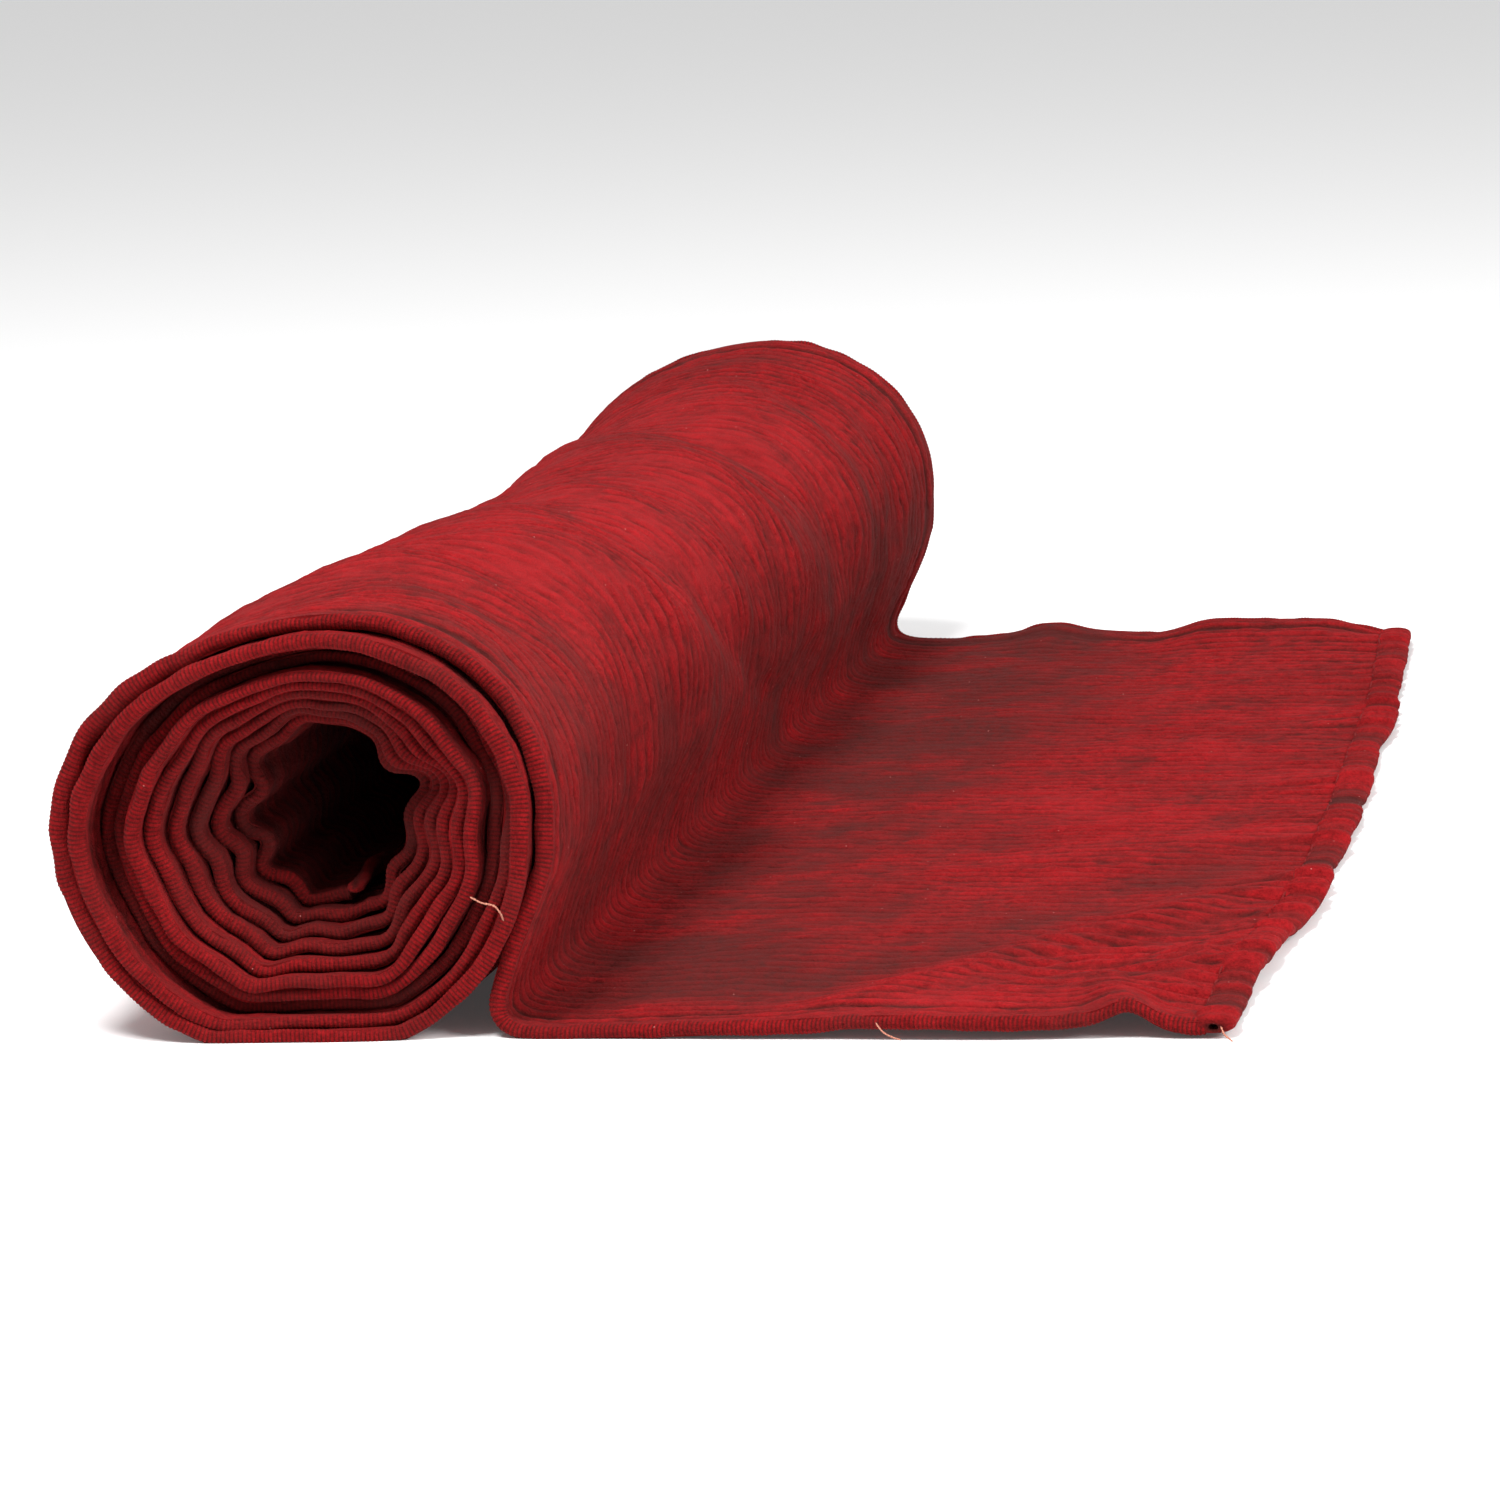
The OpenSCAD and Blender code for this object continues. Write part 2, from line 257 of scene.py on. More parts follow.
# How far the near edge lies behind the outermost one, in mm, after so many turns. Beyond the drop
# the count of turns only marks the distance along the cloth.
SETBACK_TURNS = [0, 0.5, 1.5, 2.5, 3.5, 4.5, 5.5, 5.8, 6.3, 7.7,
                 8.15, 8.95, 9.12, 9.3, 9.5, 9.7, 9.9, 10.03, 10.08, 20]
SETBACKS = [30, 27, 21, 16, 11.5, 7, 3, 3, 8, 8,
            0, 0, 0.5, 5, 8, 7, 2.5, 2.5, 6.5, 6.5]


def setback(s):
    """How far back the near edge of the cloth lies at the distance s along it. Turns 7 and 8 lie
    deepest at the upper left."""
    n = np.interp(s, LINE_S, LINE_TURNS)
    angle = np.radians(START_ANGLE - 360 * n)
    back = np.interp(n, SETBACK_TURNS, SETBACKS) * MM
    hollow_turns = np.exp(-((n - 7.1) / 0.85) ** 4)
    back = back + 9 * MM * hollow_turns * (0.5 + 0.5 * np.cos(angle - math.radians(140)))
    return back + 0.5 * MM * waves(s, 0 * s, 5, 8, 0.03, 1)


def edge_y(s, near):
    """Where the near or the far edge of the cloth lies along the roll. The near end isn't quite
    square: its left side stands a little further forward."""
    if near:
        x = np.interp(s, LINE_S, LINE_X)
        forward = np.clip((0.045 - x) / 0.09, 0, 1)
        return -CLOTH_WIDTH / 2 + setback(s) - 7 * MM * forward * forward * (3 - 2 * forward)
    return CLOTH_WIDTH / 2 + 0.5 * setback(s)


def ease(value, low, high):
    """Rises smoothly from 0 at low to 1 at high."""
    share = np.clip((value - low) / (high - low), 0, 1)
    return share * share * (3 - 2 * share)


def roll_share(x):
    """1 on the roll, and 0 on the loose end beside it."""
    return np.clip((0.078 - x) / 0.012, 0, 1)


def waist(y):
    """How far the roll narrows between its thick ends: nothing there, most past the middle."""
    return ease(y, -0.19, 0.04) * ease(-y, -0.31, -0.20)


# Height in mm of each broad fold, where it lies along the roll, how it leans and bows as it runs
# round the roll, and its width.
ROLL_FOLDS = [
    (2.8, -0.1458, -0.045, 0, 0.026),
    (-3.0, -0.064, 0, 0.050, 0.024),
    (2.5, 0.055, 0, 0.036, 0.030),
    (-2.2, 0.128, 0, 0.030, 0.022),
    (2.0, 0.196, 0.020, 0, 0.028),
    (-1.6, -0.215, -0.020, 0, 0.022),
]


def roll_folds(angle, y):
    """Broad soft folds that run round the roll aslant, in mm. They die away at its two ends."""
    turn = np.degrees(angle)
    turn = np.where(turn < -90, turn + 360, turn)
    off = (turn - 50) / 50
    folds = 0
    for high, place, lean, bow, width in ROLL_FOLDS:
        folds = folds + high * np.exp(-((y - place - lean * off - bow * off ** 2) / width) ** 2)
    around = turn * 0.001
    folds = folds + 0.9 * waves(y - 0.5 * around, around, 11, 16, 0.028, 0.035)
    side = 0.7 + 1.0 * np.exp(-((turn - 46) / 38) ** 2)
    return 1.2 * folds * side * ease(0.3 - np.abs(y), 0, 0.05)


# The line of the hem across the cloth, as mm past a straight line.
HEM_LINE_Y = [-0.3, -0.236, -0.156, -0.09, 0.024, 0.17, 0.3]
HEM_LINE_OUT = [0.5, 1.0, 7.5, 9.0, 7.0, 4.0, -3.0]


def hem_line(y):
    """How far the end of the cloth reaches past a straight line, across its width."""
    out = 0
    for shift in (-0.02, -0.01, 0, 0.01, 0.02):
        out = out + np.interp(y + shift, HEM_LINE_Y, HEM_LINE_OUT) / 5
    return out * MM


def hem_ridges(y):
    """The gathers across the hem between -1 and 1: rib-wide puckers and broader bunches."""
    fine = waves(y, 0 * y, 53, 10, 0.0035, 1)
    broad = waves(y, 0 * y, 51, 10, 0.011, 1)
    return 0.65 * fine + 0.55 * broad


def fold_side(x, y):
    """Where a line through the point, slanting like the long fold, meets the near edge of the
    fold. It is the same all along the fold."""
    return x - 0.58 * (y + 0.272)


# Heights of what stands up on the loose end.
SWELL_HIGH = 0.9 * MM
ARCH_HIGH = 5.0 * MM
EDGE_HIGH = 2.4 * MM
RIDGE_HIGH = 2.6 * MM
FOLD_HIGH = 3.0 * MM
FIRST_WAVE_HIGH, FAR_WAVE_HIGH = 3.0 * MM, 6.0 * MM
RIPPLE_HIGH, RIPPLE_PITCH = 1.3 * MM, 12 * MM
GATHER_HIGH = 1.5 * MM


def flap_relief(x, y):
    """Height by which the loose end stands off the floor: soft swells, an arch at the near edge, a
    long fold aslant and a shorter one, lifted waves along the far edge, ripples at the near corner
    and gathers beside the hem."""
    out = ease(x, FOOT_X - 0.004, FOOT_X + 0.05)
    swell = SWELL_HIGH * (1 + waves(x, y, 21, 12, 0.05, 0.05))
    near = np.exp(-((y + 0.296) / 0.035) ** 2)
    arch = ARCH_HIGH * np.exp(-((x - 0.2135 + 0.30 * (y + 0.292)) / 0.0075) ** 2) * near
    lip = EDGE_HIGH * ease(x, 0.12, 0.155) * ease(-x, -0.232, -0.20) * near
    ridge = RIDGE_HIGH * np.exp(-((x - 0.205 - 0.28 * (y + 0.292)) / 0.013) ** 2)
    ridge = ridge * np.exp(-((y + 0.2) / 0.09) ** 2)
    fold = FOLD_HIGH * np.exp(-((fold_side(x, y) - 0.142) / 0.0105) ** 2)
    fold = fold * ease(y, -0.31, -0.25) * ease(-y, 0.09, 0.17)
    far = np.exp(-((y - 0.304) / 0.030) ** 2)
    far_waves = FIRST_WAVE_HIGH * np.exp(-((x - 0.104) / 0.012) ** 2)
    far_waves = far_waves + FAR_WAVE_HIGH * ease(x, 0.142, 0.168) * ease(-x, -0.236, -0.205)
    bend = y + 0.245 + 0.9 * (x - 0.19) ** 2 / 0.06 - 0.25 * (x - 0.2)
    ripples = RIPPLE_HIGH * np.cos(2 * math.pi * bend / RIPPLE_PITCH)
    ripples = ripples * np.exp(-((x - 0.200) / 0.028) ** 2 - ((y + 0.222) / 0.036) ** 2)
    from_hem = np.maximum(END_X - HEM_WIDTH - x, 0)
    gathers = GATHER_HIGH * hem_ridges(y) * np.exp(-from_hem / 0.016)
    height = swell + arch + lip + ridge + fold + far * far_waves + ripples + gathers
    return out * 0.5 * (height + np.sqrt(height ** 2 + (0.8 * MM) ** 2))


# How the roll is pushed out of round: its far end at the right, its slack left side and its upper
# left shoulder stand out, and its waist is narrower and lower by these shares.
FAR_PUSH = 2.2 * MM
SLACK_PUSH = 0.3 * MM
SHOULDER_PUSH = 3.2 * MM
FAR_FOOT_PUSH = 7 * MM
WAIST_NARROW, WAIST_LOW = 0.070, 0.076


def bend_space(x, y, z):
    """Moves a point of the straight roll to where it lies with the roll's waist and folds, and
    stretches the loose end to the curved line of its hem."""
    dx, dz = x - CENTRE[0], z - CENTRE[1]
    r = np.hypot(dx, dz)
    angle = np.arctan2(dz, dx)
    height = ease(z, 0, 0.05)
    reach = np.clip(r / 0.064, 0, 1.1) ** 2
    on_roll = roll_share(x)
    push = roll_folds(angle, y) * MM * height * reach * on_roll
    right = np.maximum(0, np.cos(angle)) * reach * on_roll
    push = push + FAR_PUSH * ease(y, 0.12, 0.28) * right
    slack = ease(r, 0.060, 0.063) * np.exp(-((np.cos(angle) + 1) / 0.45) ** 2)
    shoulder = ease(r, 0.055, 0.063) * np.exp(-((angle - math.radians(125)) / 0.52) ** 2)
    push = push + SLACK_PUSH * slack + SHOULDER_PUSH * shoulder * ease(-y, 0.09, 0.15)
    narrow = waist(y) * height * on_roll
    x2 = x + push * np.cos(angle) - WAIST_NARROW * dx * narrow
    z2 = z + push * np.sin(angle) * height - WAIST_LOW * z * narrow
    along = np.clip((x - FOOT_X) / (END_X - FOOT_X), 0, 1.1)
    far_foot = FAR_FOOT_PUSH * ease(y, 0.05, 0.3) * ease(x, 0.05, 0.066)
    far_foot = far_foot * (1 - np.minimum(along, 1))
    return x2 + far_foot * ease(-z, -0.05, 0) + along ** 2 * hem_line(y), z2


RIB_PITCH = 6.0 * MM
RIB_HIGH = 0.52 * MM
HEM_LINE = 12 * MM
SEAM_HALF = 1.7 * MM
SEAM_DEEP = 0.95 * MM


def rib_phase(s, y):
    """Where a point lies across the ribs. The ribs wander a little as they run along the cloth."""
    wander = 1.2 * MM * waves(s, y, 31, 10, 0.035, 0.04)
    wander = wander + 0.55 * MM * waves(s, y, 32, 14, 0.009, 0.012)
    return (y + wander) / RIB_PITCH


def far_slope(s, y):
    """How much the cloth falls away towards the far end on the folds of the roll, from -1 to 1."""
    x = np.interp(s, LINE_S, LINE_X)
    z = np.interp(s, LINE_S, LINE_Z)
    angle = np.arctan2(z - CENTRE[1], x - CENTRE[0])
    fall = (roll_folds(angle, y - 7 * MM) - roll_folds(angle, y + 7 * MM)) / 14
    fall = fall * ease(z, 0, 0.04) * roll_share(x) * (s > at_turn(TURNS))
    return np.tanh(4.5 * fall)


def rib_height(s, y, from_edge, slope):
    """Height of the ribs, mostly between -1 and 1. They come and go, with short creases between
    them that open most where the cloth falls away."""
    rib = np.abs(np.cos(math.pi * rib_phase(s, y))) * 2 - 1
    strength = 0.78 + 0.36 * waves(s, y, 33, 24, 0.016, 0.009)
    crease = np.exp(-((waves(s, y, 34, 28, 0.0110, 0.0022) + 1.25) / 0.32) ** 2)
    bumps = 0.25 * waves(s, y, 35, 30, 0.0040, 0.0026)
    inside = ease(from_edge, 1 * MM, 9 * MM)
    strength = np.clip(strength + 0.45 * slope, 0.05, 1.3)
    return (rib * strength - (0.8 + 0.6 * slope) * crease + bumps) * inside


def painted_recess_shade(s):
    """Painted shade: the innermost turns, and the two slack ones, which lie set back in the near
    face, are painted darker and browner than the rest.
    """
    n = np.interp(s, LINE_S, LINE_TURNS)
    return 0.6 * ease(-n, -5.5, -1.5) + 0.6 * np.exp(-((n - 7.1) / 0.75) ** 4)


def painted_light_and_pile_marks(s, y, slope):
    """Where the cloth looks darker and browner, and below 0 where it looks paler. Random patches,
    where the pile lies flatter or stands up, go both ways. Where the cloth turns from the drop to
    the floor, and in a band behind the long fold, it is darker with flattened pile and painted
    shade. On the sides of the roll's folds that fall away to the far end it is darker with painted
    shade, and on the sides that face the near end paler with painted highlight. The inner turns are
    darker with painted shade."""
    x = np.interp(s, LINE_S, LINE_X)
    on_floor = ease(s, at_turn(WRAP_END) + 0.03, at_turn(WRAP_END) + 0.12)
    # Flattened pile and painted shade, beside the foot of the roll.
    bent = np.exp(-((x - 0.092) / 0.040) ** 2) * on_floor * ease(y, -0.29, -0.235)
    patches = 0.55 * waves(s, y, 71, 16, 0.035, 0.035) + 0.35 * waves(s, y, 72, 16, 0.012, 0.010)
    grain = waves(s, y, 73, 24, 0.007, 0.0035)
    # Painted shade where the folds fall away to the far end, painted highlight where they face the
    # near end.
    slope_light_and_shade = np.where(slope > 0, 0.62, 0.5) * slope * (1 + 0.35 * patches + 0.35 * grain)
    spread = bent * (0.88 + 0.12 * np.tanh(y / 0.08) + 0.35 * patches + 0.15 * grain)
    # Flattened pile and painted shade, in a band behind the long fold.
    behind = np.exp(-((fold_side(x, y) - 0.112) / 0.022) ** 2)
    behind = behind * ease(y, -0.30, -0.24) * ease(-y, 0.05, 0.14)
    spread = np.maximum(spread, 0.55 * behind * (1 + 0.4 * patches + 0.2 * grain) * on_floor)
    return np.clip(spread + 0.22 * patches + slope_light_and_shade + painted_recess_shade(s), -0.6, 1)


def edge_waves(angle, n):
    """The waver of the wound edges: the turns follow each other, with a slow drift between them."""
    dice = np.random.RandomState(61)
    total = 0 * angle
    for lobes in range(6, 17):
        start = dice.uniform(0, 6.3)
        drift = 0.55 * n * dice.normal()
        total = total + 9 / lobes * np.cos(lobes * angle + start + drift)
    return total / 3


def seam_line(from_edge):
    """The line, beside the edge, where its turned-over hem is sewn down."""
    return np.exp(-((from_edge - HEM_LINE) / SEAM_HALF) ** 2)


def edge_hem(from_edge, room):
    """The turned-over edge of the cloth: a low thick band with a seam groove behind it."""
    band = np.clip(1 - from_edge / HEM_LINE, 0, 1)
    return room * np.sqrt(band) - SEAM_DEEP * seam_line(from_edge)


def cloth_surface(s, y, off):
    """A point of the cloth at the distance s along it and y across it, off the middle by off."""
    x = np.interp(s, LINE_S, LINE_X)
    z = np.interp(s, LINE_S, LINE_Z)
    ahead, behind = np.minimum(s + 0.6 * MM, LINE_S[-1]), np.maximum(s - 0.6 * MM, LINE_S[0])
    tx = np.interp(ahead, LINE_S, LINE_X) - np.interp(behind, LINE_S, LINE_X)
    tz = np.interp(ahead, LINE_S, LINE_Z) - np.interp(behind, LINE_S, LINE_Z)
    length = np.hypot(tx, tz)
    nx, nz = -tz / length, tx / length
    n = np.interp(s, LINE_S, LINE_TURNS)
    angle = np.radians(START_ANGLE - 360 * n)
    waver = (1.15 - 0.10 * n) * MM * edge_waves(angle, n)
    waver = waver * ease(-n, -9.2, -7.5) * ease(np.abs(y), 0.22, 0.28)
    off = off + waver * np.where(np.sin(angle) > 0, 0.35 + 0.65 * np.cos(angle) ** 2, 1)
    x, z = x + nx * off, z + nz * off
    flap = flap_relief(x, y)
    x, z = bend_space(x, y, z)
    return np.stack([x, y + 0 * x, z + flap], -1)


def across(cells, near, far, end_share):
    """Places across the cloth from the near to the far edge, closer together at both edges."""
    t = np.linspace(-1, 1, cells + 1)
    bent = np.sign(t) * (1 - (1 - np.abs(t)) ** end_share)
    return near + (far - near) * (bent + 1) / 2


EDGE_INSET = 1.2 * MM


def cloth_piece(name, s0, s1, step, cells, end_share):
    """A stretch of the cloth from s0 to s1 as a closed sheet: a grid is thickened and laid out."""
    rows = max(4, round((s1 - s0) / step))
    bpy.ops.object.select_all(action="DESELECT")
    bpy.ops.mesh.primitive_grid_add(x_subdivisions=rows, y_subdivisions=cells, size=1)
    piece = bpy.context.object
    piece.name = name
    mesh = piece.data
    co = np.zeros(len(mesh.vertices) * 3)
    mesh.vertices.foreach_get("co", co)
    co = co.reshape(-1, 3)
    along_share = np.round((co[:, 0] + 0.5) * rows).astype(int)
    across_share = np.round((co[:, 1] + 0.5) * cells).astype(int)
    s_line = s0 + (s1 - s0) * np.arange(-1, rows + 2) / rows
    s_line = np.clip(s_line, LINE_S[0] + 0.1 * MM, LINE_S[-1] - 0.1 * MM)
    near, far = edge_y(s_line, True) + EDGE_INSET, edge_y(s_line, False) - EDGE_INSET
    y = np.stack([across(cells, a, b, end_share) for a, b in zip(near, far)])
    s = np.repeat(s_line[:, None], cells + 1, 1)
    from_edge = np.minimum(y - near[:, None], far[:, None] - y) + EDGE_INSET
    slope = far_slope(s, y)
    relief = rib_height(s, y, from_edge, slope)
    middle = cloth_surface(s, y, RIB_HIGH * relief)
    ds = np.gradient(middle, axis=0)
    dy = np.gradient(middle, axis=1)
    normal = np.cross(ds, dy)
    normal /= np.linalg.norm(normal, axis=-1, keepdims=True)
    thick = np.interp(s, LINE_S, LINE_THICK) / 2 + edge_hem(from_edge, 0.75 * lip_room(s))
    outer = middle + normal * thick[..., None]
    inner = middle - normal * thick[..., None]
    pick = (along_share + 1, across_share)
    corner_vertex = np.zeros(len(mesh.loops), int)
    mesh.loops.foreach_get("vertex_index", corner_vertex)
    layout = np.stack([s[pick], y[pick]], -1)[corner_vertex]
    mesh.uv_layers.active.data.foreach_set("uv", layout.ravel())
    thicken = piece.modifiers.new("thicken", "SOLIDIFY")
    thicken.thickness = CLOTH_THICK
    thicken.offset = -1
    bpy.ops.object.modifier_apply(modifier=thicken.name)
    placed = np.concatenate([outer[pick], inner[pick]])
    placed[:, 2] = np.maximum(placed[:, 2], 0)
    mesh.vertices.foreach_set("co", placed.ravel())
    # Painted shade: the grooves between the ribs take more of the darker colour where the cloth
    # falls away on the folds of the roll, and the seam line beside each edge is painted darker.
    groove_shade_gain = 0.5 * (1 + 0.7 * np.maximum(slope, 0))
    crest = np.clip(0.5 + (groove_shade_gain * relief)[pick] - 0.85 * seam_line(from_edge[pick]), 0, 1)
    ribs = np.concatenate([crest, 1 - crest])
    mesh.attributes.new("rib", "FLOAT", "POINT").data.foreach_set("value", ribs)
    # The second attribute is darker and browner for flattened pile, random patches and painted
    # shade, the seam line included, and below 0 paler for painted highlight and pile that stands
    # up.
    marks = np.tile((painted_light_and_pile_marks(s, y, slope) + 0.8 * seam_line(from_edge))[pick], 2)
    mesh.attributes.new("pressed", "FLOAT", "POINT").data.foreach_set("value", marks)
    mesh.update()
    bpy.ops.object.shade_smooth_by_angle(angle=math.radians(65))
    mesh.materials.clear()
    mesh.materials.append(PLUSH)
    return piece


def node_maker(material):
    """A short way to add a node, and to join two sockets, in one material."""
    tree = material.node_tree

    def add(kind, **values):
        node = tree.nodes.new(kind)
        for key, value in values.items():
            if key in node.inputs:
                node.inputs[key].default_value = value
            else:
                setattr(node, key, value)
        return node

    return add, tree.links.new


def ribbed_plush(name, crest, groove, pressed_colour, fluff_and_highlight, lint):
    """Dyed plush: lighter along the ribs and darker between them, the darker part being partly
    painted shade in the grooves, with a fine uneven pile and a few specks of lint. It is darker and
    browner where the pile lies flatter and where shade is painted, and paler where the pile stands
    up and where highlight is painted."""
    material = bpy.data.materials.new(name)
    material.use_nodes = True
    surface = material.node_tree.nodes["Principled BSDF"]
    surface.inputs["Roughness"].default_value = 0.95
    surface.inputs["Specular IOR Level"].default_value = 0.08
    surface.inputs["Sheen Weight"].default_value = 0.05
    surface.inputs["Sheen Roughness"].default_value = 0.42
    surface.inputs["Sheen Tint"].default_value = (1.0, 0.30, 0.28, 1)
    add, join = node_maker(material)
    place = add("ShaderNodeTexCoord")
    rib = add("ShaderNodeAttribute", attribute_name="rib")
    pile = add("ShaderNodeTexNoise", Scale=1100.0, Detail=4.0, Roughness=0.7)
    tufts = add("ShaderNodeTexNoise", Scale=330.0, Detail=4.0, Roughness=0.65)
    patches = add("ShaderNodeTexNoise", Scale=22.0, Detail=3.0, Roughness=0.55)
    stretch = add("ShaderNodeMapping", Scale=(190.0, 900.0, 1.0))
    streaks = add("ShaderNodeTexNoise", Scale=1.0, Detail=4.0, Roughness=0.7)
    join(place.outputs["Object"], pile.inputs["Vector"])
    join(place.outputs["Object"], tufts.inputs["Vector"])
    join(place.outputs["Object"], patches.inputs["Vector"])
    join(place.outputs["UV"], stretch.inputs["Vector"])
    join(stretch.outputs["Vector"], streaks.inputs["Vector"])
    depth = add("ShaderNodeMath", operation="MULTIPLY_ADD")
    depth.inputs[1].default_value = 0.80
    depth.inputs[2].default_value = -0.17
    join(rib.outputs["Fac"], depth.inputs[0])
    with_streaks = add("ShaderNodeMath", operation="MULTIPLY_ADD")
    with_streaks.inputs[1].default_value = 0.55
    join(streaks.outputs["Fac"], with_streaks.inputs[0])
    join(depth.outputs[0], with_streaks.inputs[2])
    # Lighter along the ribs and darker between them; the darker groove colour is partly painted
    # shade.
    ramp = add("ShaderNodeValToRGB")
    ramp.color_ramp.elements[0].position = 0.12
    ramp.color_ramp.elements[0].color = (*groove, 1)
    ramp.color_ramp.elements[1].position = 0.72
    ramp.color_ramp.elements[1].color = (*crest, 1)
    join(with_streaks.outputs[0], ramp.inputs["Fac"])
    speckle = add("ShaderNodeMix", data_type="RGBA", blend_type="MULTIPLY")
    speckle.inputs["Factor"].default_value = 0.85
    grains = add("ShaderNodeValToRGB")
    grains.color_ramp.elements[0].position = 0.38
    grains.color_ramp.elements[0].color = (0.42, 0.42, 0.42, 1)
    grains.color_ramp.elements[1].position = 0.62
    grains.color_ramp.elements[1].color = (1, 1, 1, 1)
    fuzz = add("ShaderNodeMix", data_type="FLOAT")
    fuzz.inputs["Factor"].default_value = 0.5
    join(pile.outputs["Fac"], fuzz.inputs[2])
    join(tufts.outputs["Fac"], fuzz.inputs[3])
    join(fuzz.outputs[0], grains.inputs["Fac"])
    join(ramp.outputs["Color"], speckle.inputs[6])
    join(grains.outputs["Color"], speckle.inputs[7])
    faded = add("ShaderNodeMix", data_type="RGBA", blend_type="MULTIPLY")
    shade = add("ShaderNodeValToRGB")
    shade.color_ramp.elements[0].position = 0.3
    shade.color_ramp.elements[0].color = (0.74, 0.70, 0.70, 1)
    shade.color_ramp.elements[1].position = 0.65
    shade.color_ramp.elements[1].color = (1, 1, 1, 1)
    faded.inputs["Factor"].default_value = 0.8
    join(patches.outputs["Fac"], shade.inputs["Fac"])
    join(speckle.outputs[2], faded.inputs[6])
    join(shade.outputs["Color"], faded.inputs[7])
    specks = add("ShaderNodeTexVoronoi", Scale=150.0, feature="F1")
    join(place.outputs["Object"], specks.inputs["Vector"])
    fibre = add("ShaderNodeMath", operation="LESS_THAN")
    fibre.inputs[1].default_value = 0.028
    join(specks.outputs["Distance"], fibre.inputs[0])
    pressed = add("ShaderNodeAttribute", attribute_name="pressed")
    mottled = add("ShaderNodeMath", operation="MULTIPLY_ADD", use_clamp=True)
    mottled.inputs[1].default_value = 1.3
    mottled.inputs[2].default_value = -0.42
    join(tufts.outputs["Fac"], mottled.inputs[0])
    brown = add("ShaderNodeMath", operation="MULTIPLY_ADD", use_clamp=True)
    brown.inputs[1].default_value = 0.95
    brown.inputs[2].default_value = 0.0
    join(pressed.outputs["Fac"], brown.inputs[0])
    darker = add("ShaderNodeMath", operation="MULTIPLY", use_clamp=True)
    spread = add("ShaderNodeMath", operation="ADD")
    spread.inputs[1].default_value = 0.62
    join(mottled.outputs[0], spread.inputs[0])
    join(brown.outputs[0], darker.inputs[0])
    join(spread.outputs[0], darker.inputs[1])
    # Darker and browner for flattened pile and for painted shade.
    nap_and_shade = add("ShaderNodeMix", data_type="RGBA")
    nap_and_shade.inputs[7].default_value = (*pressed_colour, 1)
    join(darker.outputs[0], nap_and_shade.inputs["Factor"])
    join(faded.outputs[2], nap_and_shade.inputs[6])
    # Paler for pile that stands up and for painted highlight.
    raised_and_lit = add("ShaderNodeMath", operation="MULTIPLY", use_clamp=True)
    raised_and_lit.inputs[1].default_value = -1.0
    join(pressed.outputs["Fac"], raised_and_lit.inputs[0])
    fluffed_and_lit = add("ShaderNodeMix", data_type="RGBA")
    fluffed_and_lit.inputs[7].default_value = (*fluff_and_highlight, 1)
    join(raised_and_lit.outputs[0], fluffed_and_lit.inputs["Factor"])
    join(nap_and_shade.outputs[2], fluffed_and_lit.inputs[6])
    linted = add("ShaderNodeMix", data_type="RGBA")
    linted.inputs[7].default_value = (*lint, 1)
    join(fibre.outputs[0], linted.inputs["Factor"])
    join(fluffed_and_lit.outputs[2], linted.inputs[6])
    join(linted.outputs[2], surface.inputs["Base Color"])
    rough = add("ShaderNodeBump", Strength=0.8, Distance=0.0012)
    fine = add("ShaderNodeBump", Strength=0.8, Distance=0.0007)
    lines = add("ShaderNodeBump", Strength=0.5, Distance=0.0008)
    join(streaks.outputs["Fac"], lines.inputs["Height"])
    join(tufts.outputs["Fac"], rough.inputs["Height"])
    join(lines.outputs["Normal"], rough.inputs["Normal"])
    join(pile.outputs["Fac"], fine.inputs["Height"])
    join(rough.outputs["Normal"], fine.inputs["Normal"])
    join(fine.outputs["Normal"], surface.inputs["Normal"])
    return material


# The groove red and the brown are partly painted shade, and the paler red is partly painted
# highlight.
CREST_RED = (0.32, 0.0075, 0.010)
GROOVE_SHADE_RED = (0.085, 0.009, 0.008)
PRESSED_AND_SHADE_BROWN = (0.068, 0.011, 0.010)
RAISED_AND_LIT_RED = (0.34, 0.013, 0.016)
LINT_PINK = (0.5, 0.17, 0.15)
PLUSH = ribbed_plush("red_ribbed_plush", CREST_RED, GROOVE_SHADE_RED, PRESSED_AND_SHADE_BROWN, RAISED_AND_LIT_RED,
                     LINT_PINK)

# The edge of the cloth is turned over and overlocked: a soft round lip with slanting stitches.
LIP_DEPTH = 3.4 * MM
LIP_SIDES = 10
STITCH_PITCH = 1.15 * MM
POINTS_PER_STITCH = 3
OUTER_LIP_ROOM = 0.70 * MM


def lip_room(s):
    """How far the lip of the edge can stand off the cloth before it meets the next turn's."""
    n = np.interp(s, LINE_S, LINE_TURNS)
    angle = np.radians(START_ANGLE - 360 * n)
    pitch = wound_radius(angle, n + 1) - wound_radius(angle, n)
    room = np.clip(0.43 * pitch - np.interp(s, LINE_S, LINE_THICK) / 2, 0.10 * MM, 0.8 * MM)
    return np.where(n > TURNS - 0.6, OUTER_LIP_ROOM, room)


